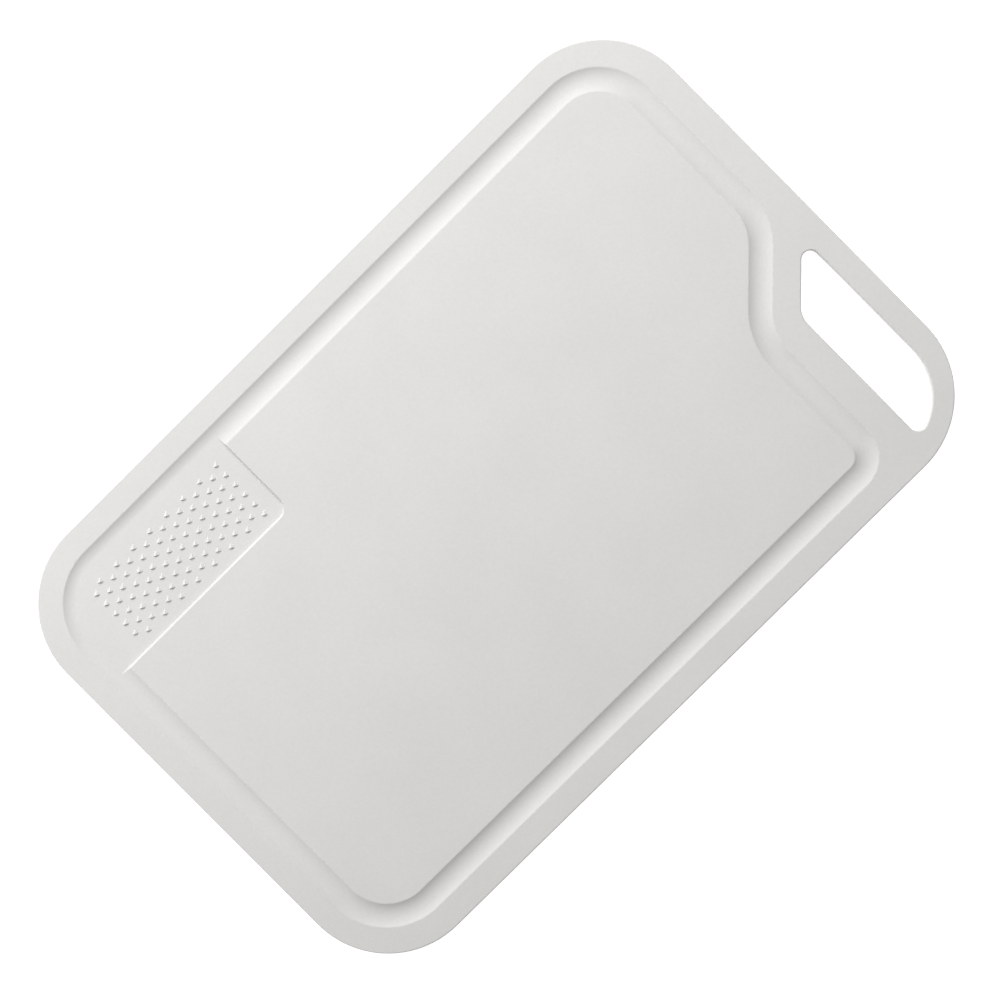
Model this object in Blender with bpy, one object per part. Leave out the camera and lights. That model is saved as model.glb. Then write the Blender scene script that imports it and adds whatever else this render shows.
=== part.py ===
"""A moulded plastic cutting board on four rubber feet.

Metres, +Z up. The origin is at the middle of the footprint, on the surface that the feet stand on.
+X points to the end with the hand opening, and the grater patch is in the corner at -X, +Y.
"""

import math

import bmesh
import bpy

# The board's plate.
LENGTH = 0.400
WIDTH = 0.260
THICKNESS = 0.008
CORNER_RADIUS = 0.0465
EDGE_ROUNDING = 0.001

# The feet, each pressed into a blind socket in the underside.
FOOT_DIAMETER = 0.012
FOOT_STANDS_PROUD = 0.001
FOOT_EDGE_ROUNDING = 0.0005
SOCKET_DEPTH = 0.002
FOOT_GAP = 0.0003
FOOT_X = 0.148
FOOT_Y = 0.105
FOOT_SIDES = 32

# The juice groove, a shallow arc in section, along a closed route given by its middle line.
GROOVE_WIDTH = 0.012
GROOVE_DEPTH = 0.0016
GROOVE_LEFT = -0.1823
GROOVE_RIGHT = 0.1801
GROOVE_SIDE = 0.1120  # the long runs lie at plus and minus this Y
GROOVE_BY_HANDLE = 0.1409  # X of the run beside the hand opening
GROOVE_JOG_OFFSET = 0.1752  # the 45 degree jog lies on the line X - Y = this
GROOVE_LEFT_RADIUS = 0.0288  # the two corners at the left end
GROOVE_FRONT_RADIUS = 0.012  # in front of the hand opening
GROOVE_JOG_START_RADIUS = 0.034
GROOVE_JOG_END_RADIUS = 0.031
GROOVE_REAR_RADIUS = 0.027  # behind the hand opening
GROOVE_SECTION_STEPS = 8

# The grater patch: a flat floor level with the groove's bottom, open to the groove on two sides.
PATCH_RIGHT = -0.0715
PATCH_FRONT = 0.0652
PATCH_CORNER_RADIUS = 0.0055
PATCH_HIDDEN_RADIUS = 0.0005  # its two corners that lie in the groove
PATCH_WALL_SLOPE = 0.001  # how far a wall leans out on its way up to the cutting surface
PATCH_FLOOR_RISE = 0.00005  # the floor meets the groove just above its lowest line

# The grater's nubs, in staggered columns.
NUB_COLUMNS = 16
NUB_COLUMN_PITCH = 0.005515
NUB_FIRST_X = -0.1639
NUB_ROW_PITCH = 0.0064
NUB_LONG_COLUMN = 6
NUB_MIDDLE_Y = 0.0870
NUB_RADIUS = 0.0014
NUB_HEIGHT = 0.0013
NUB_TIP_RADIUS = 0.0003
NUB_ROOT = 0.0005  # how deep a nub reaches into the floor
NUB_SIDES = 10

# The hand opening.
OPENING_LEFT = 0.1617
OPENING_RIGHT = 0.1879
OPENING_JOG_OFFSET = 0.2013  # its slanted side lies on the line X - Y = this
OPENING_TOP_RADIUS = 0.0045
OPENING_SLANT_RADIUS = 0.0114
OPENING_LOW_RADIUS = 0.0045
OPENING_ARC_RADIUS = 0.0316
OPENING_ARC_Y = -0.0873

ARC_STEP = math.radians(7.5)
ROUNDING_STEPS = 3
OVERCUT = 0.001  # how far a cutter reaches past the face that it cuts
SAME_PLACE = 1e-6  # points nearer to each other than this are one point

BOTTOM = FOOT_STANDS_PROUD
TOP = BOTTOM + THICKNESS
GROOVE_RADIUS = (GROOVE_WIDTH**2 / 4 + GROOVE_DEPTH**2) / (2 * GROOVE_DEPTH)


def clear_scene():
    for obj in list(bpy.data.objects):
        bpy.data.objects.remove(obj)


def material(name, colour, roughness):
    made = bpy.data.materials.new(name)
    made.use_nodes = True
    shader = made.node_tree.nodes["Principled BSDF"]
    shader.inputs["Base Color"].default_value = (*colour, 1)
    shader.inputs["Roughness"].default_value = roughness
    shader.inputs["Metallic"].default_value = 0
    return made


def arc(centre, radius, start, end):
    """Points from the angle start to the angle end, each as (x, y, outward x, outward y).

    A negative radius stands for a corner that bends inwards, whose outward side is its centre's.
    """
    steps = max(1, math.ceil(abs(end - start) / ARC_STEP - 1e-6))
    side = math.copysign(1, radius)
    points = []
    for i in range(steps + 1):
        angle = start + (end - start) * i / steps
        c, s = math.cos(angle), math.sin(angle)
        points.append((centre[0] + abs(radius) * c, centre[1] + abs(radius) * s, side * c, side * s))
    return points


def rounded_outline(corners):
    """An anticlockwise outline through the corners (x, y, radius), each rounded to its radius."""
    points = []
    for i, (x, y, radius) in enumerate(corners):
        before, after = corners[i - 1], corners[(i + 1) % len(corners)]
        arrive = math.atan2(y - before[1], x - before[0])
        leave = math.atan2(after[1] - y, after[0] - x)
        turn = math.remainder(leave - arrive, math.tau)
        side = math.copysign(1, turn)
        back = radius * math.tan(abs(turn) / 2)
        # The centre lies square to the arriving side, level with the point where the arc starts.
        inward = arrive + side * math.pi / 2
        centre = (
            x - back * math.cos(arrive) + radius * math.cos(inward),
            y - back * math.sin(arrive) + radius * math.sin(inward),
        )
        start = inward + math.pi
        points += arc(centre, side * radius, start, start + turn)
    return points


def plate_outline():
    x, y = LENGTH / 2, WIDTH / 2
    corners = ((-x, -y), (x, -y), (x, y), (-x, y))
    return rounded_outline([(*corner, CORNER_RADIUS) for corner in corners])


def groove_route():
    """The middle line: round the plate, with a 45 degree jog that passes the hand opening."""
    return rounded_outline(
        [
            (GROOVE_LEFT, -GROOVE_SIDE, GROOVE_LEFT_RADIUS),
            (GROOVE_BY_HANDLE, -GROOVE_SIDE, GROOVE_FRONT_RADIUS),
            (GROOVE_BY_HANDLE, GROOVE_BY_HANDLE - GROOVE_JOG_OFFSET, GROOVE_JOG_START_RADIUS),
            (GROOVE_RIGHT, GROOVE_RIGHT - GROOVE_JOG_OFFSET, GROOVE_JOG_END_RADIUS),
            (GROOVE_RIGHT, GROOVE_SIDE, GROOVE_REAR_RADIUS),
            (GROOVE_LEFT, GROOVE_SIDE, GROOVE_LEFT_RADIUS),
        ]
    )


def patch_outline():
    """The grater patch's floor. Its far sides run along the middle of the groove."""
    return rounded_outline(
        [
            (GROOVE_LEFT, PATCH_FRONT, PATCH_HIDDEN_RADIUS),
            (PATCH_RIGHT, PATCH_FRONT, PATCH_CORNER_RADIUS),
            (PATCH_RIGHT, GROOVE_SIDE, PATCH_HIDDEN_RADIUS),
            (GROOVE_LEFT, GROOVE_SIDE, GROOVE_LEFT_RADIUS),
        ]
    )


def opening_outline():
    """The hand opening: three rounded corners and, at the plate's own corner, one large arc."""
    arc_x = OPENING_RIGHT - OPENING_ARC_RADIUS
    low_x = OPENING_LEFT + OPENING_LOW_RADIUS
    reach = OPENING_ARC_RADIUS - OPENING_LOW_RADIUS
    low_y = OPENING_ARC_Y - math.sqrt(reach**2 - (low_x - arc_x) ** 2)
    meet = math.atan2(low_y - OPENING_ARC_Y, low_x - arc_x)
    low_corner = arc((low_x, low_y), OPENING_LOW_RADIUS, -math.pi, meet)
    large_arc = arc((arc_x, OPENING_ARC_Y), OPENING_ARC_RADIUS, meet, 0)
    # The upper two corners come from an outline whose two lower corners are square, one point each.
    upper = rounded_outline(
        [
            (OPENING_LEFT, OPENING_ARC_Y, 0),
            (OPENING_RIGHT, OPENING_ARC_Y, 0),
            (OPENING_RIGHT, OPENING_RIGHT - OPENING_JOG_OFFSET, OPENING_TOP_RADIUS),
            (OPENING_LEFT, OPENING_LEFT - OPENING_JOG_OFFSET, OPENING_SLANT_RADIUS),
        ]
    )
    upper = [point for point in upper if point[1] > OPENING_ARC_Y + SAME_PLACE]
    return low_corner + large_arc[1:] + upper


def circle(x, y, radius, sides):
    turns = [math.tau * i / sides for i in range(sides)]
    return [(x + radius * math.cos(a), y + radius * math.sin(a), math.cos(a), math.sin(a)) for a in turns]


def rounding(height, size, side):
    """Levels (z, offset) up a rounded upper edge at this height, or up a lower edge if side is -1."""
    levels = []
    for i in range(ROUNDING_STEPS + 1):
        angle = math.pi / 2 * i / ROUNDING_STEPS
        levels.append((height - side * size * (1 - math.sin(angle)), -size * (1 - math.cos(angle))))
    return levels[::side]


def flare(height, size, side):
    """Levels of a cutter that leaves a rounded edge at this height, run on past the face."""
    levels = [(z, -offset) for z, offset in rounding(height, size, side)][::side]
    (z0, out0), (z1, out1) = levels[-2:]
    past = (z1 + (z1 - z0) / 2, out1 + (out1 - out0) / 2)
    return (levels[:-1] + [past, (height + side * OVERCUT, past[1])])[::side]


def stack(shape, outline, levels):
    """Adds to a bmesh the closed solid that follows the outline, pushed outwards by each level's offset."""
    rings = []
    for z, out in levels:
        rings.append([shape.verts.new((x + nx * out, y + ny * out, z)) for x, y, nx, ny in outline])
    for low, high in zip(rings, rings[1:]):
        for i in range(len(outline)):
            j = (i + 1) % len(outline)
            shape.faces.new((low[i], low[j], high[j], high[i]))
    shape.faces.new(rings[0][::-1])
    shape.faces.new(rings[-1])


def unrepeated(outline):
    """The outline without points that fall on the one before."""
    kept = []
    for point in outline:
        if not kept or math.dist(point[:2], kept[-1][:2]) > SAME_PLACE:
            kept.append(point)
    return kept


def new_object(name, shape, finish=None):
    bmesh.ops.recalc_face_normals(shape, faces=shape.faces)
    mesh = bpy.data.meshes.new(name)
    shape.to_mesh(mesh)
    shape.free()
    obj = bpy.data.objects.new(name, mesh)
    bpy.context.scene.collection.objects.link(obj)
    if finish:
        mesh.materials.append(finish)
    return obj


def solid(name, outline, levels, finish=None):
    shape = bmesh.new()
    stack(shape, unrepeated(outline), levels)
    return new_object(name, shape, finish)


def groove_cutter():
    """A ring with the groove's section. Its arc runs on past the cutting surface."""
    half = GROOVE_WIDTH / 2 + OVERCUT / 2
    spread = math.asin(half / GROOVE_RADIUS)
    middle = TOP - GROOVE_DEPTH + GROOVE_RADIUS
    section = []
    for i in range(GROOVE_SECTION_STEPS + 1):
        angle = spread * (2 * i / GROOVE_SECTION_STEPS - 1)
        section.append((GROOVE_RADIUS * math.sin(angle), middle - GROOVE_RADIUS * math.cos(angle)))
    section += [(half, TOP + OVERCUT), (-half, TOP + OVERCUT)]
    shape = bmesh.new()
    rings = []
    for x, y, nx, ny in unrepeated(groove_route()):
        rings.append([shape.verts.new((x + nx * s, y + ny * s, z)) for s, z in section])
    for ring, after in zip(rings, rings[1:] + rings[:1]):
        for i in range(len(section)):
            j = (i + 1) % len(section)
            shape.faces.new((ring[i], ring[j], after[j], after[i]))
    return new_object("groove_cutter", shape)


def patch_cutter():
    floor = TOP - GROOVE_DEPTH + PATCH_FLOOR_RISE
    slope = PATCH_WALL_SLOPE / (TOP - floor)
    levels = [(floor, 0), (TOP + OVERCUT, slope * (TOP + OVERCUT - floor))]
    return solid("patch_cutter", patch_outline(), levels)


def nubs():
    """All the nubs, which the board's own solid takes in: columns of six and of five, by turns."""
    floor = TOP - GROOVE_DEPTH + PATCH_FLOOR_RISE
    lean = (NUB_RADIUS - NUB_TIP_RADIUS) / NUB_HEIGHT
    levels = [(floor - NUB_ROOT, NUB_ROOT * lean), (floor + NUB_HEIGHT, NUB_TIP_RADIUS - NUB_RADIUS)]
    shape = bmesh.new()
    for column in range(NUB_COLUMNS):
        count = NUB_LONG_COLUMN - 1 + column % 2
        for row in range(count):
            x = NUB_FIRST_X + column * NUB_COLUMN_PITCH
            y = NUB_MIDDLE_Y + (row - (count - 1) / 2) * NUB_ROW_PITCH
            stack(shape, circle(x, y, NUB_RADIUS, NUB_SIDES), levels)
    return new_object("nubs", shape)


def opening_cutter():
    levels = flare(BOTTOM, EDGE_ROUNDING, -1) + flare(TOP, EDGE_ROUNDING, 1)
    return solid("opening_cutter", opening_outline(), levels)


def foot_places():
    for end, x in (("left", -FOOT_X), ("right", FOOT_X)):
        for side, y in (("front", -FOOT_Y), ("rear", FOOT_Y)):
            yield f"{side}_{end}", x, y


def socket_cutters():
    shape = bmesh.new()
    for _, x, y in foot_places():
        outline = circle(x, y, FOOT_DIAMETER / 2 + FOOT_GAP, FOOT_SIDES)
        stack(shape, outline, [(BOTTOM - OVERCUT, 0), (BOTTOM + SOCKET_DEPTH, 0)])
    return new_object("socket_cutters", shape)


def combine(obj, other, operation):
    other.hide_render = True
    other.display_type = "WIRE"
    step = obj.modifiers.new(other.name, "BOOLEAN")
    step.operation = operation
    step.solver = "EXACT"
    step.object = other


def board(finish):
    levels = rounding(BOTTOM, EDGE_ROUNDING, -1) + rounding(TOP, EDGE_ROUNDING, 1)
    plate = solid("board", plate_outline(), levels, finish)
    combine(plate, opening_cutter(), "DIFFERENCE")
    combine(plate, socket_cutters(), "DIFFERENCE")
    combine(plate, groove_cutter(), "DIFFERENCE")
    combine(plate, patch_cutter(), "DIFFERENCE")
    combine(plate, nubs(), "UNION")
    return plate


def foot(name, x, y, finish):
    height = FOOT_STANDS_PROUD + SOCKET_DEPTH - FOOT_GAP
    levels = rounding(0, FOOT_EDGE_ROUNDING, -1) + rounding(height, FOOT_EDGE_ROUNDING, 1)
    made = solid(name, circle(0, 0, FOOT_DIAMETER / 2, FOOT_SIDES), levels, finish)
    made.data.shade_smooth()
    made.data.set_sharp_from_angle(angle=math.radians(40))
    made.location = (x, y, 0)
    return made


def main():
    clear_scene()
    plastic = material("grey_plastic", (0.62, 0.62, 0.62), 0.55)
    rubber = material("grey_rubber", (0.28, 0.28, 0.28), 0.85)
    board(plastic)
    for place, x, y in foot_places():
        foot(f"foot_{place}", x, y, rubber)


main()
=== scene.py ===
"""The looks of a moulded plastic cutting board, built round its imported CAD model."""

import math

import bpy
import numpy as np
from mathutils import Matrix, Vector
from mathutils.geometry import delaunay_2d_cdt


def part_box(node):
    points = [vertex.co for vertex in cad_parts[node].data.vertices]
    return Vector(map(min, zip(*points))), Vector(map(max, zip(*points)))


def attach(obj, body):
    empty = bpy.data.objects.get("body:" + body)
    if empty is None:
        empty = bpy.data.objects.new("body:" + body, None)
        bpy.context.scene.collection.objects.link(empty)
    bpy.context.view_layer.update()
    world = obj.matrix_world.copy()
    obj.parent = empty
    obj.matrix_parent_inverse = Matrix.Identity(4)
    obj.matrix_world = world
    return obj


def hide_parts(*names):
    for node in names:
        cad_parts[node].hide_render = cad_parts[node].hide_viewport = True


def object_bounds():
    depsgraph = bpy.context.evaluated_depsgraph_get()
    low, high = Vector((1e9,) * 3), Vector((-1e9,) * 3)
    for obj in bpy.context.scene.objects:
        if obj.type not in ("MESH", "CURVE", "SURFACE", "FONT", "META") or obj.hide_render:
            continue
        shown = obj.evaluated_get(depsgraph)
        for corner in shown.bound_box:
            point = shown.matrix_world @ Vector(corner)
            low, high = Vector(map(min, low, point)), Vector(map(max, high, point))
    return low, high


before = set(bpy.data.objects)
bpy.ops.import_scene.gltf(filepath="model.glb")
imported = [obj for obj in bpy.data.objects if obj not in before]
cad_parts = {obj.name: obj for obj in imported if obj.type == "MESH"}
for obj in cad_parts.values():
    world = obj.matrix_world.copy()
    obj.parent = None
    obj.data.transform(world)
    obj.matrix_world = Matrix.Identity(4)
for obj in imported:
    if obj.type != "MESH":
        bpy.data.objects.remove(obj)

cad_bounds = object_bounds()

# The board's shapes are worked out in millimetres, in the frame's own axes, and turned into metres
# when its mesh is made.
MM = 0.001
BOARD_LOW, BOARD_HIGH = (np.array(extreme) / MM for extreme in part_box("board"))
HALF_LENGTH, HALF_WIDTH, TOP = BOARD_HIGH
BOTTOM = BOARD_LOW[2]
CORNER_RADIUS = 46.5
EDGE_ROUNDING = 0.7
QUADRANTS = ((-1, -1), (1, -1), (1, 1), (-1, 1))  # anticlockwise

GROOVE_HALF_WIDTH = 5.6
GROOVE_DEPTH = 1.4
GROOVE_LIP = 1.6  # the radius of its rounded lips
GROOVE_LEFT, GROOVE_RIGHT = -182.3, 180.1  # its centre line's runs
GROOVE_FRONT, GROOVE_REAR = -111.6, 112.4
GROOVE_BY_HANDLE = 140.9
GROOVE_JOG = 174.6  # the slanted run lies on X - Y = this
GROOVE_LEFT_RADIUS, GROOVE_FRONT_RADIUS, GROOVE_REAR_RADIUS = 28.8, 12.0, 27.0
GROOVE_JOG_START_RADIUS, GROOVE_JOG_END_RADIUS = 34.0, 31.0

PATCH_RIGHT, PATCH_FRONT = -71.0, 64.7  # half way up the patch's two walls
PATCH_CORNER_RADIUS = 6.0
PATCH_WALL_HALF = 0.42  # half of what a wall takes up in plan
PATCH_LIP = 0.4
PATCH_FILLET = 0.35
WALL_REACH = 3.0  # how far a wall's section runs on to either side
RIDGE_ROUNDING = 0.4  # where the groove's wall runs out into the patch
RIDGE_GAIN = 4.0

NUB_COLUMNS, NUB_ROWS = 16, 5  # every second column has one row more
NUB_COLUMN_PITCH, NUB_ROW_PITCH = 5.515, 6.4
NUB_FIRST_X, NUB_MIDDLE_Y = -163.9, 87.0
NUB_HEIGHT = 1.0
NUB_TIP = (0.07, -0.14)  # from its place in the rows
NUB_SKIRT = 0.25  # how far its foot spreads on the patch's floor
NUB_CORNER_RADIUS = 0.3
# A nub is a blunt tooth: each side's way, in degrees from +X, and how far its foot is from the tip.
NUB_SIDES = ((0, 1.55), (112, 1.15), (180, 1.3), (237, 0.52), (305, 1.5))
# Its rings from the foot up: how large, as a share of the foot, and how high, as a share of the height.
NUB_SECTION = (
    (1, 0.02), (0.93, 0.07), (0.86, 0.15), (0.6, 0.45),
    (0.34, 0.74), (0.25, 0.85), (0.16, 0.93), (0.07, 0.98),
)

OPENING_LEFT, OPENING_RIGHT = 161.7, 187.9
OPENING_JOG = 201.3  # its slanted end lies on X - Y = this
OPENING_TOP_RADIUS, OPENING_SLANT_RADIUS, OPENING_LOW_RADIUS = 4.5, 11.4, 4.5
OPENING_ARC_RADIUS, OPENING_ARC_Y = 31.6, -87.3  # the large arc beside the board's corner

SOCKET_RADIUS, SOCKET_DEPTH, SOCKET_LIP = 6.3, 2.0, 0.2
SOCKET_MOUTH = SOCKET_RADIUS + SOCKET_LIP
SOCKET_SIDES = 64
SOCKET_LIP_POINTS = 4

ARC_STEP, NUB_ARC_STEP = math.radians(3), math.radians(14)
STRAIGHT_STEP, GROOVE_STEP, PATCH_STEP, NUB_STEP = 8.0, 4.0, 1.5, 0.4
ROUNDING_STEPS, FILLET_STEPS = 6, 5
GROOVE_ARC_POINTS, GROOVE_LIP_POINTS = 15, 6
CLEARANCE, NUB_CLEARANCE = 3.0, 2.0  # between a face's loose points and what is around them
NUB_SLACK = 0.02

TINY = 1e-9
SAME_PLACE = 1e-6
SHEET_TOLERANCE = 1e-5
LEAST_AREA = 1e-7
MERGED_DECIMALS = 4  # points that agree to these decimals of a millimetre are one point

PLASTIC_COLOUR = (0.605, 0.600, 0.588)
PLASTIC_IOR = 1.49
RUBBER_COLOUR = (0.115, 0.115, 0.118)
PAPER_COLOUR = (0.93, 0.93, 0.93)
PAPER_ROUGHNESS, PAPER_SPECULAR = 0.9, 0.1
PAPER_GLOW = 0.66  # keeps the floor as white as the photo's, with no shadow on it
FLOOR_HALF_SIDE = 3.0  # in metres, as are the distances and sizes below
WHITE = (1, 1, 1, 1)
WORLD_STRENGTH = 0.39
SOFTBOX_POWER, SOFTBOX_SIZE = 26.8, (2.4, 0.4)
SOFTBOX_AZIMUTH, SOFTBOX_ELEVATION, SOFTBOX_DISTANCE = 86, 42, 1.25
CAMERA_LENS = 100
CAMERA_AZIMUTH, CAMERA_ELEVATION, CAMERA_DISTANCE = 23.3, 86.93, 1.3085
CAMERA_UP_AZIMUTH = 45.22
CAMERA_AIM = (0.0018, -0.0027, 0)


class Route:
    """Lines and arcs end to end. Its normals point to the right of its direction of travel."""

    def __init__(self):
        self.pieces = []

    def line(self, start, end):
        start, end = np.array(start, float), np.array(end, float)
        length = np.linalg.norm(end - start)
        if length > TINY:
            self.pieces.append(("line", start, (end - start) / length, length))
        return self

    def arc(self, centre, radius, start, turn):
        self.pieces.append(("arc", np.array(centre, float), radius, start, turn))
        return self

    def sample(self, step=STRAIGHT_STEP, arc_step=ARC_STEP):
        """(points, normals) along the route; each piece leaves its end to the piece that follows."""
        points, normals = [], []
        for kind, first, *rest in self.pieces:
            if kind == "line":
                along, length = rest
                count = max(1, math.ceil(length / step - TINY))
                for i in range(count):
                    points.append(first + along * (length * i / count))
                    normals.append((along[1], -along[0]))
            else:
                radius, start, turn = rest
                count = max(1, math.ceil(abs(turn) / arc_step - TINY))
                for i in range(count):
                    angle = start + turn * i / count
                    out = np.array((math.cos(angle), math.sin(angle)))
                    points.append(first + radius * out)
                    normals.append(out * math.copysign(1, turn))
        return np.array(points), np.array(normals)

    def measure(self, points):
        """(signed distance, unit gradient) at each point, positive on the side of the normals."""
        nearest = np.full(len(points), np.inf)
        signed = np.zeros(len(points))
        gradient = np.zeros((len(points), 2))
        for kind, first, *rest in self.pieces:
            away = points - first
            if kind == "line":
                along, length = rest
                normal = np.array((along[1], -along[0]))
                reach = away - np.clip(away @ along, 0, length)[:, None] * along
                distance = np.linalg.norm(reach, axis=1)
                value = away @ normal
                slope = np.broadcast_to(normal, away.shape)
            else:
                radius, start, turn = rest
                side = math.copysign(1, turn)
                far = np.maximum(np.linalg.norm(away, axis=1), TINY)
                passed = ((np.arctan2(away[:, 1], away[:, 0]) - start) * side) % math.tau
                inside = passed <= abs(turn) + TINY
                distance = np.where(inside, abs(far - radius), np.inf)
                value = side * (far - radius)
                slope = side * away / far[:, None]
            closer = distance < nearest
            nearest[closer] = distance[closer]
            signed[closer] = value[closer]
            gradient[closer] = slope[closer]
        return signed, gradient


def corner(before, at, after, radius):
    """(centre, start angle, turn, first point, last point) of the arc that rounds a corner."""
    before, at, after = (np.array(p, float) for p in (before, at, after))
    arrive = math.atan2(*(at - before)[::-1])
    leave = math.atan2(*(after - at)[::-1])
    turn = math.remainder(leave - arrive, math.tau)
    back = radius * math.tan(abs(turn) / 2)
    first = at - back * np.array((math.cos(arrive), math.sin(arrive)))
    last = at + back * np.array((math.cos(leave), math.sin(leave)))
    inward = arrive + math.copysign(math.pi / 2, turn)
    centre = first + radius * np.array((math.cos(inward), math.sin(inward)))
    return centre, inward + math.pi, turn, first, last


def rounded(corners, closed=True):
    """The route through corners (x, y, radius). An open one runs from its first to its last."""
    route = Route()
    arcs = {}
    for i, (x, y, radius) in enumerate(corners):
        if closed or 0 < i < len(corners) - 1:
            after = corners[(i + 1) % len(corners)]
            arcs[i] = corner(corners[i - 1][:2], (x, y), after[:2], radius)
    for i in range(len(corners) if closed else len(corners) - 1):
        j = (i + 1) % len(corners)
        start = corners[i][:2]
        if i in arcs:
            centre, angle, turn, _, start = arcs[i]
            route.arc(centre, corners[i][2], angle, turn)
        route.line(start, arcs[j][3] if j in arcs else corners[j][:2])
    return route


def plate_route():
    """The board's outline, anticlockwise, so its normals point outwards."""
    return rounded([(x * HALF_LENGTH, y * HALF_WIDTH, CORNER_RADIUS) for x, y in QUADRANTS])


def groove_route():
    """The groove's centre line, anticlockwise."""
    return rounded(
        [
            (GROOVE_LEFT, GROOVE_FRONT, GROOVE_LEFT_RADIUS),
            (GROOVE_BY_HANDLE, GROOVE_FRONT, GROOVE_FRONT_RADIUS),
            (GROOVE_BY_HANDLE, GROOVE_BY_HANDLE - GROOVE_JOG, GROOVE_JOG_START_RADIUS),
            (GROOVE_RIGHT, GROOVE_RIGHT - GROOVE_JOG, GROOVE_JOG_END_RADIUS),
            (GROOVE_RIGHT, GROOVE_REAR, GROOVE_REAR_RADIUS),
            (GROOVE_LEFT, GROOVE_REAR, GROOVE_LEFT_RADIUS),
        ]
    )


def patch_route():
    """The patch's two walls, from the groove's left run to its rear run, with the patch on their left."""
    past = 2 * GROOVE_HALF_WIDTH
    return rounded(
        [
            (GROOVE_LEFT - past, PATCH_FRONT, 0),
            (PATCH_RIGHT, PATCH_FRONT, PATCH_CORNER_RADIUS),
            (PATCH_RIGHT, GROOVE_REAR + past, 0),
        ],
        closed=False,
    )


def opening_route():
    """The hand opening, anticlockwise, so its normals point into the plastic."""
    arc_x = OPENING_RIGHT - OPENING_ARC_RADIUS
    low_x = OPENING_LEFT + OPENING_LOW_RADIUS
    apart = OPENING_ARC_RADIUS - OPENING_LOW_RADIUS  # the two arcs' centres
    low_y = OPENING_ARC_Y - math.sqrt(apart**2 - (low_x - arc_x) ** 2)
    meet = math.atan2(low_y - OPENING_ARC_Y, low_x - arc_x)
    at = (OPENING_RIGHT, OPENING_ARC_Y)
    tip = (OPENING_RIGHT, OPENING_RIGHT - OPENING_JOG)
    bend = (OPENING_LEFT, OPENING_LEFT - OPENING_JOG)
    below = (OPENING_LEFT, low_y)
    route = Route()
    route.arc((low_x, low_y), OPENING_LOW_RADIUS, -math.pi, meet + math.pi)
    route.arc((arc_x, OPENING_ARC_Y), OPENING_ARC_RADIUS, meet, -meet)
    bends = ((at, tip, bend, OPENING_TOP_RADIUS), (tip, bend, below, OPENING_SLANT_RADIUS))
    for before, middle, after, radius in bends:
        centre, start, turn, first, last = corner(before, middle, after, radius)
        route.line(at, first).arc(centre, radius, start, turn)
        at = last
    return route.line(at, below)


def nub_outline():
    """(points, normals) round a nub's foot, about its tip."""
    corners = []
    for side, next_side in zip(NUB_SIDES, NUB_SIDES[1:] + NUB_SIDES[:1]):
        ways = np.radians((side[0], next_side[0]))
        facing = np.column_stack((np.cos(ways), np.sin(ways)))
        x, y = np.linalg.solve(facing, (side[1], next_side[1]))
        corners.append((x, y, NUB_CORNER_RADIUS))
    return rounded(corners).sample(NUB_STEP, NUB_ARC_STEP)


def nub_tips():
    for column in range(NUB_COLUMNS):
        count = NUB_ROWS + column % 2
        for row in range(count):
            x = NUB_FIRST_X + column * NUB_COLUMN_PITCH
            y = NUB_MIDDLE_Y + (row - (count - 1) / 2) * NUB_ROW_PITCH
            yield x + NUB_TIP[0], y + NUB_TIP[1]


PLATE, GROOVE, PATCH, OPENING = plate_route(), groove_route(), patch_route(), opening_route()
NUB_FOOT, NUB_FOOT_WAY = nub_outline()
NUB_SPREAD = NUB_FOOT + NUB_SKIRT * NUB_FOOT_WAY
NUBS = np.array(list(nub_tips()))


def filleted(points):
    """(positions, heights, slopes) of a section given as corners (position, height, radius)."""
    positions, heights, slopes = [points[0][0]], [points[0][1]], [0.0]
    for before, at, after in zip(points, points[1:], points[2:]):
        centre, start, turn, _, _ = corner(before[:2], at[:2], after[:2], at[2])
        for i in range(FILLET_STEPS + 1):
            angle = start + turn * i / FILLET_STEPS
            positions.append(centre[0] + at[2] * math.cos(angle))
            heights.append(centre[1] + at[2] * math.sin(angle))
            slopes.append(-1 / math.tan(angle) if abs(math.cos(angle)) > TINY else 0.0)
    return np.array(positions), np.array(heights), np.array(slopes)


def groove_section():
    """(positions, heights, slopes) across the groove: a wide arc between two rounded lips."""
    radius = (GROOVE_HALF_WIDTH**2 + GROOVE_DEPTH**2) / (2 * GROOVE_DEPTH)
    lip_at = math.sqrt(GROOVE_DEPTH * (2 * radius + 2 * GROOVE_LIP - GROOVE_DEPTH))
    meet = math.asin(lip_at / (radius + GROOVE_LIP))
    arc = []
    for a in np.linspace(-meet, meet, GROOVE_ARC_POINTS):
        arc.append((radius * math.sin(a), radius * (1 - math.cos(a)) - GROOVE_DEPTH, math.tan(a)))
    lip = []
    for a in np.linspace(meet, 0, GROOVE_LIP_POINTS)[1:]:
        lip.append((lip_at - GROOVE_LIP * math.sin(a), GROOVE_LIP * (math.cos(a) - 1), math.tan(a)))
    mirrored = [(-position, height, -slope) for position, height, slope in lip[::-1]]
    return np.array(mirrored + arc + lip).T


GROOVE_SECTION = groove_section()
WALL_SECTION = filleted(
    [
        (-WALL_REACH, -GROOVE_DEPTH, 0),
        (-PATCH_WALL_HALF, -GROOVE_DEPTH, PATCH_FILLET),
        (PATCH_WALL_HALF, 0, PATCH_LIP),
        (WALL_REACH, 0, 0),
    ]
)


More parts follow.
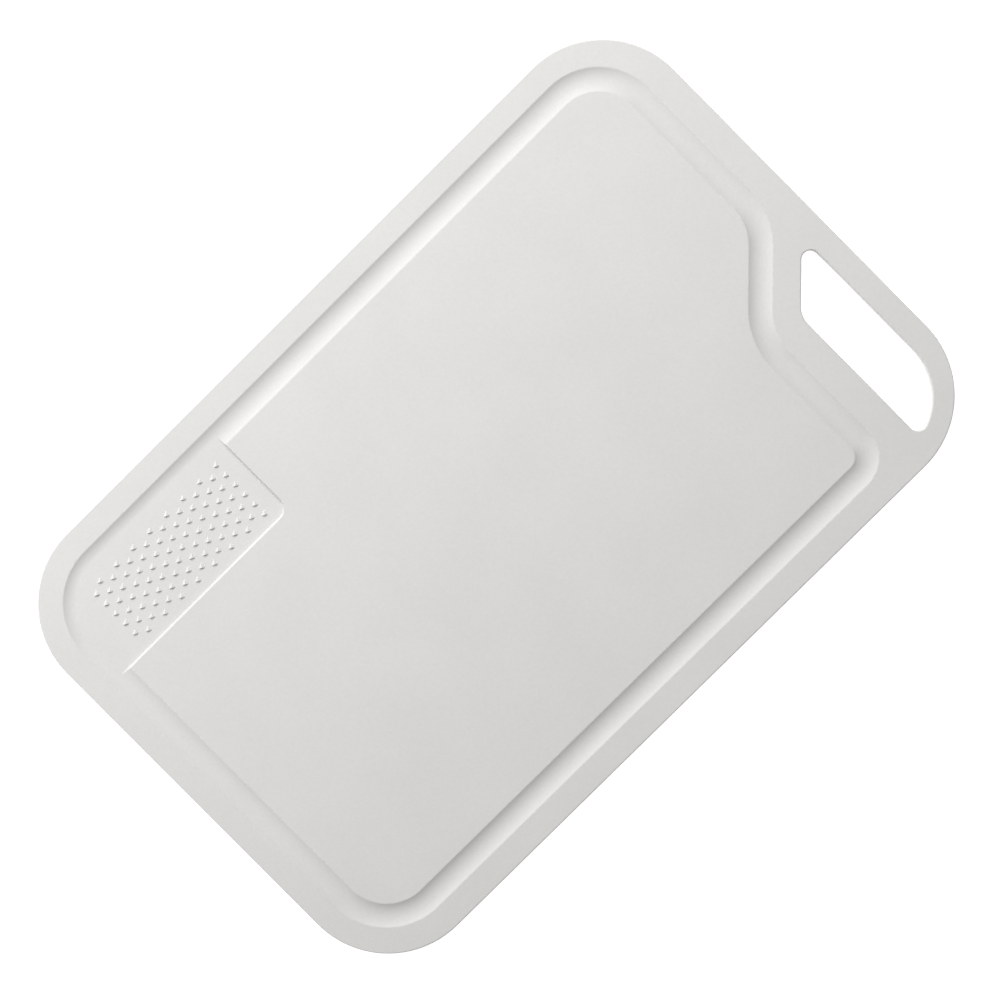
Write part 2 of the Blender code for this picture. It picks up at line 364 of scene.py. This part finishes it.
def surface(points):
    """(heights, normals) of the upper face at each point, without the nubs.

    Heights count from the flat of the face.
    """
    across, groove_way = GROOVE.measure(points)
    beside, patch_way = PATCH.measure(points)
    positions, *parts = GROOVE_SECTION
    groove_z, groove_slope = (np.interp(across, positions, part, 0, 0) for part in parts)
    wall_z = np.interp(beside, WALL_SECTION[0], WALL_SECTION[1])
    wall_slope = np.interp(beside, WALL_SECTION[0], WALL_SECTION[2], 0, 0)
    outside = across >= 0
    wall_z[outside] = 0
    wall_slope[outside] = 0
    # The lower surface counts, with a rounded ridge only where both of them slope.
    soft = RIDGE_ROUNDING * np.clip(RIDGE_GAIN * abs(groove_slope * wall_slope), 0, 1) + SAME_PLACE
    share = np.clip(0.5 + 0.5 * (wall_z - groove_z) / soft, 0, 1)
    height = share * groove_z + (1 - share) * wall_z - soft * share * (1 - share)
    slope = (share * groove_slope)[:, None] * groove_way + ((1 - share) * wall_slope)[:, None] * patch_way
    normals = np.column_stack((-slope, np.ones(len(points))))
    return height, normals / np.linalg.norm(normals, axis=1)[:, None]


def ring(centre, radius):
    turns = np.arange(SOCKET_SIDES) * math.tau / SOCKET_SIDES
    return np.array(centre) + radius * np.column_stack((np.cos(turns), np.sin(turns)))


class Net:
    """Points and edges that a triangulated sheet has to keep."""

    def __init__(self):
        self.points, self.edges = [], []

    def loop(self, points):
        start, count = len(self.points), len(points)
        self.edges += [(start + i, start + (i + 1) % count) for i in range(count)]
        self.points += list(points)

    def strand(self, points, kept, closed=False):
        """A polyline's kept points, joined where neighbours are both kept."""
        order = {}
        for i in np.flatnonzero(kept):
            order[i] = len(self.points)
            self.points.append(points[i])
        for i in range(len(points) if closed else len(points) - 1):
            j = (i + 1) % len(points)
            if i in order and j in order:
                self.edges.append((order[i], order[j]))

    def sheet(self, inside):
        """(points, triangles) over the area where inside is true."""
        points = [Vector(p) for p in self.points]
        flat, _, faces, *_ = delaunay_2d_cdt(points, self.edges, [], 0, SHEET_TOLERANCE)
        flat, faces = np.array(flat, float), np.array(faces)
        faces = faces[inside(flat[faces].mean(axis=1))]
        a, b, c = (flat[faces[:, k]] for k in range(3))
        area = np.cross(b - a, c - a) / 2
        faces = np.where((area < 0)[:, None], faces[:, ::-1], faces)
        return flat, faces[abs(area) > LEAST_AREA]


class Body:
    """Faces gathered from several sheets and skins, joined where their points meet."""

    def __init__(self):
        self.points, self.normals, self.faces, self.count = [], [], [], 0

    def add(self, points, normals, faces):
        self.points.append(np.asarray(points, float))
        self.normals.append(np.asarray(normals, float))
        self.faces += [[self.count + int(v) for v in face] for face in faces]
        self.count += len(points)

    def skin(self, rings, normals, flip=False):
        """Quads between rings of equal length, each a closed loop of 3-D points."""
        size = len(rings[0])
        faces = []
        for level in range(len(rings) - 1):
            for i in range(size):
                j = (i + 1) % size
                quad = (level * size + i, level * size + j, (level + 1) * size + j, (level + 1) * size + i)
                faces.append(quad[::-1] if flip else quad)
        self.add(np.concatenate(rings), np.concatenate(normals), faces)

    def cap(self, edge, normals, middle, way):
        """A fan from a closed loop of points to one in the middle, whose own normal is way."""
        count = len(edge)
        fan = [(i, (i + 1) % count, count) for i in range(count)]
        self.add(np.vstack((edge, middle)), np.vstack((normals, way)), fan)

    def mesh(self, name):
        points, normals = np.concatenate(self.points), np.concatenate(self.normals)
        places = np.round(points, MERGED_DECIMALS)
        _, first, index = np.unique(places, axis=0, return_index=True, return_inverse=True)
        index = index.reshape(-1)
        faces = []
        for face in self.faces:
            joined = [index[v] for v in face]
            joined = [v for i, v in enumerate(joined) if v != joined[i - 1]]
            if len(joined) > 2:
                faces.append(joined)
        mesh = bpy.data.meshes.new(name)
        mesh.from_pydata([tuple(p) for p in points[first] * MM], [], faces)
        mesh.update()
        mesh.shade_smooth()
        mesh.normals_split_custom_set_from_vertices([tuple(n) for n in normals[first]])
        return mesh


def lifted(flat, height):
    return np.column_stack((flat, np.broadcast_to(height, len(flat))))


def edge_levels():
    """(height below the face, distance out, tilt of the normal) down a rounded edge from the face."""
    for i in range(ROUNDING_STEPS + 1):
        angle = math.pi / 2 * (1 - i / ROUNDING_STEPS)
        yield EDGE_ROUNDING * (1 - math.sin(angle)), EDGE_ROUNDING * (math.cos(angle) - 1), angle


def wall(body, route, side):
    """The rounded upper edge, the upright wall and the rounded lower edge along a closed route.

    side is 1 on the plate's own outline, and -1 round an opening through it.
    """
    flat, out = route.sample()
    levels = [(TOP - down, back, tilt) for down, back, tilt in edge_levels()]
    levels += [(BOTTOM + down, back, -tilt) for down, back, tilt in reversed(list(edge_levels()))]
    rings, normals = [], []
    for height, back, tilt in levels:
        rings.append(lifted(flat + side * back * out, height))
        normals.append(lifted(side * math.cos(tilt) * out, math.sin(tilt)))
    body.skin(rings, normals, flip=side > 0)


def face_net():
    """A net with a face's two edges, round the plate and round the hand opening."""
    net = Net()
    for route, back in ((PLATE, -EDGE_ROUNDING), (OPENING, EDGE_ROUNDING)):
        flat, out = route.sample()
        net.loop(flat + back * out)
    return net


def loose_points(clear):
    """A staggered grid over the plate, where clear says that nothing is near."""
    pitch = STRAIGHT_STEP
    x = np.arange(-HALF_LENGTH + pitch / 2, HALF_LENGTH, pitch)
    y = np.arange(-HALF_WIDTH + pitch / 2, HALF_WIDTH, pitch)
    grid = np.stack(np.meshgrid(x, y), axis=-1).reshape(-1, 2)
    grid[:, 0] += np.where(np.arange(len(grid)) // len(x) % 2, pitch / 4, -pitch / 4)
    return list(grid[clear(grid)])


def in_plastic(points, margin=0.0):
    """Whether each point is on a face, further than margin from its edges."""
    inset = EDGE_ROUNDING + margin
    return (PLATE.measure(points)[0] < -inset) & (OPENING.measure(points)[0] > inset)


def upper_face(body):
    """The face with the groove and the grater patch, with a hole for each nub."""
    net = face_net()
    groove, out = GROOVE.sample(GROOVE_STEP)
    floor_end = WALL_SECTION[0][1]
    for across in GROOVE_SECTION[0]:
        line = groove + across * out
        inner = across < -SAME_PLACE
        kept = PATCH.measure(line)[0] > floor_end if inner else np.ones(len(line), bool)
        net.strand(line, kept, closed=True)
    walls, out = PATCH.sample(PATCH_STEP)
    for beside in WALL_SECTION[0][1:]:
        line = walls + beside * out
        net.strand(line, GROOVE.measure(line)[0] < PATCH_STEP)
    for tip in NUBS:
        net.loop(NUB_SPREAD + tip)

    def from_nub(points):
        """How far each point is outside the convex foot of the nearest nub."""
        away = points - NUBS[np.linalg.norm(points[:, None] - NUBS, axis=2).argmin(axis=1)]
        return ((away[:, None] - NUB_SPREAD) * NUB_FOOT_WAY).sum(axis=2).max(axis=1)

    def clear(points):
        off_groove = abs(GROOVE.measure(points)[0]) > GROOVE_HALF_WIDTH + CLEARANCE
        off_walls = abs(PATCH.measure(points)[0]) > CLEARANCE
        return in_plastic(points, CLEARANCE) & off_groove & off_walls & (from_nub(points) > NUB_CLEARANCE)

    net.points += loose_points(clear)
    flat, faces = net.sheet(lambda p: in_plastic(p) & (from_nub(p) > -NUB_SLACK))
    height, normals = surface(flat)
    body.add(lifted(flat, TOP + height), normals, faces)


def climbing_normals(rings):
    """Normals of a skin of closed rings that climbs inwards, level with the floor at its foot."""
    grid = np.array(rings)
    round_it = np.roll(grid, -1, axis=1) - np.roll(grid, 1, axis=1)
    normals = np.cross(round_it, np.gradient(grid, axis=0))
    normals /= np.linalg.norm(normals, axis=2)[:, :, None]
    normals[0] = (0, 0, 1)
    return normals


def nub_skins(body):
    """The grater's teeth, each a ring-by-ring skin closed by a point on top."""
    floor = TOP - GROOVE_DEPTH
    rings = [lifted(NUB_SPREAD, floor)]
    rings += [lifted(share * NUB_FOOT, floor + NUB_HEIGHT * up) for share, up in NUB_SECTION]
    normals = climbing_normals(rings)
    for x, y in NUBS:
        shift = np.array((x, y, 0))
        body.skin([level + shift for level in rings], normals)
        peak = (0, 0, floor + NUB_HEIGHT) + shift
        body.cap(rings[-1] + shift, normals[-1], peak, (0, 0, 1))


def foot_centres():
    """(name, centre) of each foot, from the frame."""
    for name in sorted(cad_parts):
        if name.startswith("foot_"):
            low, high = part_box(name)
            yield name, np.array(((low + high) / 2)[:2]) / MM


def socket(body, middle):
    """A blind socket for a foot: rounded mouth, upright wall, rounded end and flat cap."""
    end = BOTTOM + SOCKET_DEPTH
    levels = []
    for a in np.linspace(0, math.pi / 2, SOCKET_LIP_POINTS):
        height = BOTTOM + SOCKET_LIP * (1 - math.cos(a))
        levels.append((SOCKET_MOUTH - SOCKET_LIP * math.sin(a), height, a))
    levels.append((SOCKET_RADIUS, end - SOCKET_LIP, math.pi / 2))
    for a in np.linspace(math.pi / 2, 0, SOCKET_LIP_POINTS)[1:]:
        height = end - SOCKET_LIP * (1 - math.cos(a))
        levels.append((SOCKET_RADIUS - SOCKET_LIP + SOCKET_LIP * math.sin(a), height, a))
    rings = [lifted(ring(middle, radius), height) for radius, height, _ in levels]
    normals = [lifted(-ring((0, 0), math.sin(tilt)), -math.cos(tilt)) for _, _, tilt in levels]
    body.skin(rings, normals)
    down = (0, 0, -1)
    body.cap(rings[-1], np.tile(down, (SOCKET_SIDES, 1)), (*middle, end), down)


def lower_face(body):
    """The flat underside, with the blind sockets that hold the feet."""
    net = face_net()
    middles = np.array([middle for _, middle in foot_centres()])
    for middle in middles:
        net.loop(ring(middle, SOCKET_MOUTH))

    def from_socket(points):
        return np.linalg.norm(points[:, None] - middles, axis=2).min(axis=1) - SOCKET_MOUTH

    net.points += loose_points(lambda p: in_plastic(p, CLEARANCE) & (from_socket(p) > CLEARANCE))
    flat, faces = net.sheet(lambda p: in_plastic(p) & (from_socket(p) > 0))
    body.add(lifted(flat, BOTTOM), np.tile((0, 0, -1), (len(flat), 1)), faces[:, ::-1])
    for middle in middles:
        socket(body, middle)


def new_object(name, mesh, material):
    made = bpy.data.objects.new(name, mesh)
    bpy.context.scene.collection.objects.link(made)
    mesh.materials.append(material)
    return made


def make_board(material):
    body = Body()
    upper_face(body)
    nub_skins(body)
    wall(body, PLATE, 1)
    wall(body, OPENING, -1)
    lower_face(body)
    piece = new_object("moulded_board", body.mesh("moulded_board"), material)
    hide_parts("board")
    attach(piece, "root")


class Nodes:
    """A short way to write a material's node tree."""

    def __init__(self, name):
        self.material = bpy.data.materials.new(name)
        self.material.use_nodes = True
        self.tree = self.material.node_tree
        self.shader = self.tree.nodes["Principled BSDF"]
        self.place = self.add("ShaderNodeTexCoord").outputs["Object"]

    def add(self, kind, inputs=(), **settings):
        node = self.tree.nodes.new(kind)
        for key, value in settings.items():
            setattr(node, key, value)
        for key, value in dict(inputs).items():
            if isinstance(value, bpy.types.NodeSocket):
                self.tree.links.new(value, node.inputs[key])
            else:
                node.inputs[key].default_value = value
        return node

    def noise(self, size_mm, detail=2.0, roughness=0.5, stretch=(1, 1, 1)):
        """Noise from 0 to 1 whose features are about size_mm across."""
        placed = self.add("ShaderNodeMapping", {"Vector": self.place, "Scale": stretch}).outputs[0]
        settings = {"Vector": placed, "Scale": 1 / (size_mm * MM), "Detail": detail, "Roughness": roughness}
        return self.add("ShaderNodeTexNoise", settings).outputs["Fac"]

    def ranged(self, noise, low, high):
        """Noise's usual span, carried over to low to high."""
        inputs = {"Value": noise, "From Min": 0.3, "From Max": 0.7, "To Min": low, "To Max": high}
        return self.add("ShaderNodeMapRange", inputs).outputs[0]

    def multiply(self, first, second):
        return self.add("ShaderNodeMath", {0: first, 1: second}, operation="MULTIPLY").outputs[0]

    def to(self, socket, value):
        self.tree.links.new(value, self.shader.inputs[socket])

    def tinted(self, value, colour):
        """A colour, scaled by a value near 1."""
        channels = [self.multiply(value, share) for share in colour]
        return self.add("ShaderNodeCombineColor", dict(zip(("Red", "Green", "Blue"), channels))).outputs[0]

    def bump(self, height, distance_mm, strength, under=None):
        inputs = {"Height": height, "Distance": distance_mm * MM, "Strength": strength}
        if under is not None:
            inputs["Normal"] = under
        return self.add("ShaderNodeBump", inputs).outputs[0]


def board_plastic():
    """Light grey polypropylene with a fine moulded grain, cloudy pigment and faint handling marks."""
    nodes = Nodes("board_plastic")
    cloud = nodes.ranged(nodes.noise(38, detail=3), 0.985, 1.015)
    fleck = nodes.ranged(nodes.noise(1.2, detail=3, roughness=0.7), 0.975, 1.025)
    nodes.to("Base Color", nodes.tinted(nodes.multiply(cloud, fleck), PLASTIC_COLOUR))
    scuffs = nodes.noise(9, detail=4, roughness=0.7, stretch=(0.12, 1, 1))
    patches = nodes.ranged(nodes.noise(24, detail=3), 0.92, 1.08)
    nodes.to("Roughness", nodes.multiply(nodes.ranged(scuffs, 0.74, 0.86), patches))
    nodes.shader.inputs["IOR"].default_value = PLASTIC_IOR
    grain = nodes.bump(nodes.noise(0.7, detail=3, roughness=0.6), 0.05, 0.6)
    waves = nodes.bump(nodes.noise(7), 0.02, 0.5, grain)
    nodes.to("Normal", waves)
    return nodes.material


def foot_rubber():
    """Soft grey rubber, matt and slightly dusty."""
    nodes = Nodes("foot_rubber")
    tone = nodes.ranged(nodes.noise(2.5, detail=4), 0.9, 1.1)
    nodes.to("Base Color", nodes.tinted(tone, RUBBER_COLOUR))
    nodes.to("Roughness", nodes.ranged(nodes.noise(1.2, detail=3), 0.72, 0.9))
    nodes.to("Normal", nodes.bump(nodes.noise(0.25), 0.02, 0.6))
    return nodes.material


def floor_paper():
    """White studio paper, lit from within so that it stays white."""
    nodes = Nodes("floor_paper")
    tone = nodes.ranged(nodes.noise(60, detail=3), 0.99, 1.0)
    nodes.to("Base Color", nodes.tinted(tone, PAPER_COLOUR))
    nodes.shader.inputs["Roughness"].default_value = PAPER_ROUGHNESS
    nodes.shader.inputs["Specular IOR Level"].default_value = PAPER_SPECULAR
    nodes.shader.inputs["Emission Color"].default_value = WHITE
    nodes.shader.inputs["Emission Strength"].default_value = PAPER_GLOW
    return nodes.material


def make_floor():
    mesh = bpy.data.meshes.new("floor")
    corners = [(x * FLOOR_HALF_SIDE, y * FLOOR_HALF_SIDE, 0) for x, y in QUADRANTS]
    mesh.from_pydata(corners, [], [(0, 1, 2, 3)])
    floor = new_object("floor", mesh, floor_paper())
    floor.location.z = cad_bounds[0][2]


def look_from(viewer, azimuth, elevation, distance, aim, up_azimuth):
    """Puts a camera or a light at an angle seen from aim, with its own up towards up_azimuth."""
    azimuth, elevation, up_azimuth = (math.radians(a) for a in (azimuth, elevation, up_azimuth))
    level = math.cos(elevation)
    back = Vector((level * math.cos(azimuth), level * math.sin(azimuth), math.sin(elevation)))
    up = Vector((math.cos(up_azimuth), math.sin(up_azimuth), 0))
    right = up.cross(back).normalized()
    up = back.cross(right)
    turn = Matrix((right, up, back)).transposed().to_4x4()
    viewer.matrix_world = Matrix.Translation(Vector(aim) + distance * back) @ turn


def make_camera():
    """Almost straight down, with the board's +X towards the picture's upper right."""
    data = bpy.data.cameras.new("camera")
    data.lens = CAMERA_LENS
    camera = bpy.data.objects.new("camera", data)
    bpy.context.scene.collection.objects.link(camera)
    look_from(camera, CAMERA_AZIMUTH, CAMERA_ELEVATION, CAMERA_DISTANCE, CAMERA_AIM, CAMERA_UP_AZIMUTH)
    bpy.context.scene.camera = camera


def make_softbox():
    """One long soft light behind the board, lengthways to it."""
    data = bpy.data.lights.new("softbox", "AREA")
    data.energy = SOFTBOX_POWER
    data.shape = "RECTANGLE"
    data.size, data.size_y = SOFTBOX_SIZE
    light = bpy.data.objects.new("softbox", data)
    bpy.context.scene.collection.objects.link(light)
    up_azimuth = SOFTBOX_AZIMUTH + 180
    look_from(light, SOFTBOX_AZIMUTH, SOFTBOX_ELEVATION, SOFTBOX_DISTANCE, (0, 0, 0), up_azimuth)


def make_studio():
    world = bpy.data.worlds.new("studio")
    world.use_nodes = True
    background = world.node_tree.nodes["Background"]
    background.inputs["Color"].default_value = WHITE
    background.inputs["Strength"].default_value = WORLD_STRENGTH
    bpy.context.scene.world = world
    bpy.context.scene.view_settings.view_transform = "Standard"
    make_softbox()


def dress_feet(material):
    for name, _ in foot_centres():
        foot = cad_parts[name]
        foot.data.materials.clear()
        foot.data.materials.append(material)


make_camera()
make_studio()
make_floor()
make_board(board_plastic())
dress_feet(foot_rubber())
